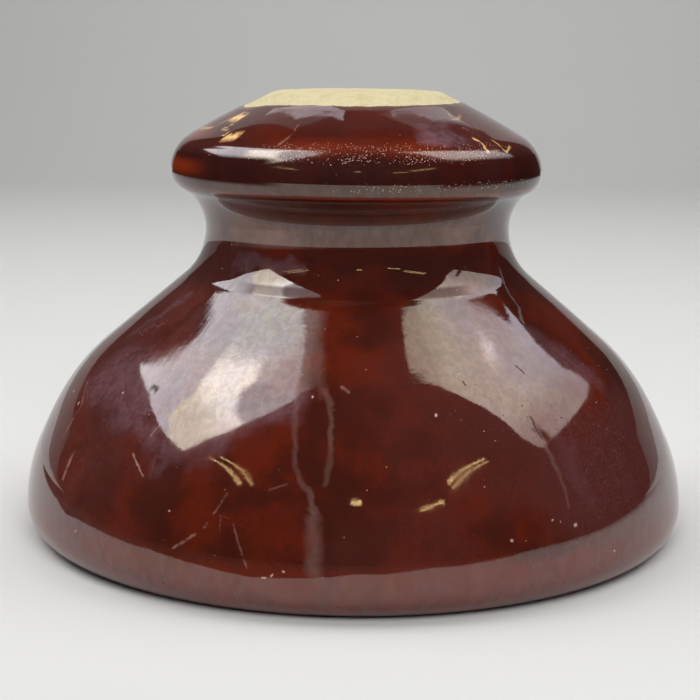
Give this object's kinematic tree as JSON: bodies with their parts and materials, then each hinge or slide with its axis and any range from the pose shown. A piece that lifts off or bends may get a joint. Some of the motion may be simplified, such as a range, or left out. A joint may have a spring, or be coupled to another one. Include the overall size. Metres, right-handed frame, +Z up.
{
  "type": "porcelain pin insulator",
  "caption": "Brown-glazed porcelain pin insulator with a side tie groove, a wide bell skirt, an inner petticoat and a threaded pin hole.",
  "frame": {"origin": "on the upright axis, in the plane that the skirt's rim stands on", "axes": "+Z up along the axis from the rim to the crown; the piece is round, so +X and +Y are free"},
  "size_m": [0.159, 0.159, 0.1055],
  "materials": {
    "brown_glaze": "glossy dark red-brown salt-style glaze, with a bare cream crown where the piece stood in the kiln"
  },
  "bodies": {
    "root": {"insulator": "brown_glaze"}
  },
  "joints": []
}
